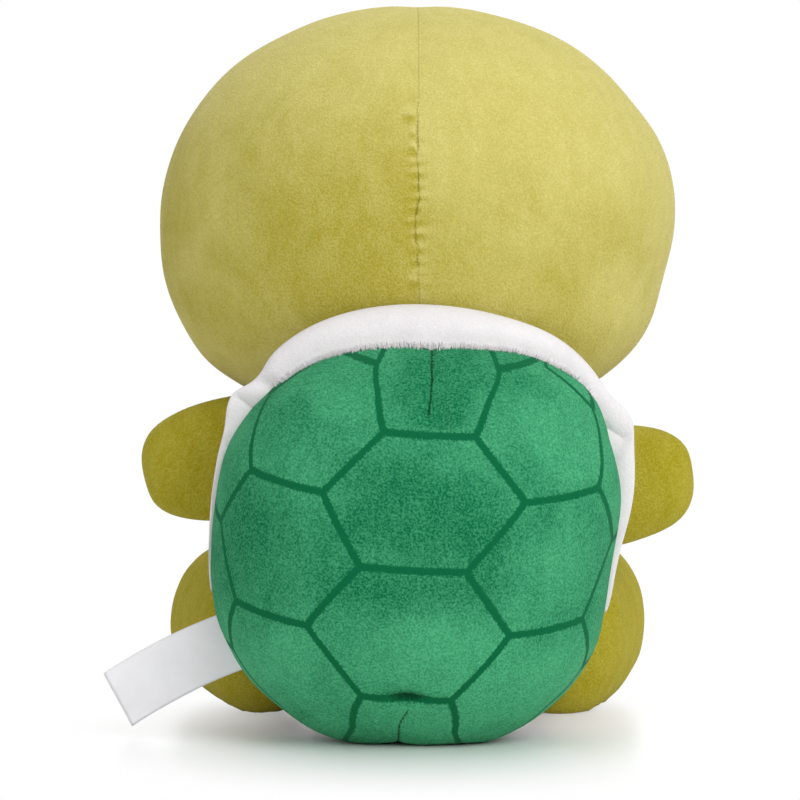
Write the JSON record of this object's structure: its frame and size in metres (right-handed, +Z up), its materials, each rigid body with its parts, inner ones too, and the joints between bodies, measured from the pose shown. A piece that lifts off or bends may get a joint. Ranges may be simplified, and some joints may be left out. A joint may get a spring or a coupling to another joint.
{
  "type": "plush turtle",
  "caption": "Sitting stuffed turtle toy with a big round head, a cushion shell edged by a soft white roll, stubby limbs that swing on their seams, and a plain sewn-in label.",
  "frame": {"origin": "on the floor, in the middle of the flat seat under the torso", "axes": "+Z up, +Y the way the turtle faces, +X to its own right"},
  "size_m": [0.2531, 0.231, 0.309],
  "materials": {
    "olive_plush": "short soft pile",
    "green_plush": "short soft pile with a darker printed scute pattern",
    "white_plush": "short soft pile",
    "fibre_fill": "loose fibre",
    "black_thread": "satin stitch",
    "ribbon": "woven satin"
  },
  "bodies": {
    "body": {"torso_front": "white_plush", "torso_back": "white_plush", "torso_fill": "fibre_fill", "shell_dome": "green_plush", "shell_lining": "white_plush", "shell_fill": "fibre_fill", "shell_rim": "white_plush"},
    "head": {"head_back_left": "olive_plush", "head_back_right": "olive_plush", "head_face": "olive_plush", "head_fill": "fibre_fill", "left_eye": "black_thread", "right_eye": "black_thread", "mouth": "black_thread"},
    "left_arm": {"left_arm_front": "olive_plush", "left_arm_back": "olive_plush", "left_arm_fill": "fibre_fill"},
    "right_arm": {"right_arm_front": "olive_plush", "right_arm_back": "olive_plush", "right_arm_fill": "fibre_fill"},
    "left_leg": {"left_leg_cover": "olive_plush", "left_leg_sole": "olive_plush", "left_leg_fill": "fibre_fill"},
    "right_leg": {"right_leg_cover": "olive_plush", "right_leg_sole": "olive_plush", "right_leg_fill": "fibre_fill"},
    "label": {"label": "ribbon"}
  },
  "joints": [
    {"name": "head_nod", "type": "hinge", "parent": "body", "child": "head", "pos_m": [0, 0.016, 0.127], "axis": [-1, 0, 0], "range_deg": [0, 12], "stiffness_Nm_per_rad": 0.6, "springref_deg": -3.44},
    {"name": "left_arm_swing", "type": "hinge", "parent": "body", "child": "left_arm", "pos_m": [-0.07227, 0.002, 0.12], "axis": [0, 0, -1], "range_deg": [-15, 35], "stiffness_Nm_per_rad": 0.03},
    {"name": "right_arm_swing", "type": "hinge", "parent": "body", "child": "right_arm", "pos_m": [0.07657, 0.002, 0.109], "axis": [0, 0, 1], "range_deg": [-15, 35], "stiffness_Nm_per_rad": 0.03},
    {"name": "left_leg_splay", "type": "hinge", "parent": "body", "child": "left_leg", "pos_m": [-0.066, 0.03604, 0.0345], "axis": [0, 0, 1], "range_deg": [-8, 14], "stiffness_Nm_per_rad": 0.06},
    {"name": "right_leg_splay", "type": "hinge", "parent": "body", "child": "right_leg", "pos_m": [0.066, 0.03604, 0.0345], "axis": [0, 0, -1], "range_deg": [-8, 14], "stiffness_Nm_per_rad": 0.06},
    {"name": "label_flap", "type": "hinge", "parent": "body", "child": "label", "pos_m": [-0.07783, -0.055, 0.03936], "axis": [0.454, 0, -0.891], "range_deg": [-35, 35], "stiffness_Nm_per_rad": 0.002}
  ]
}
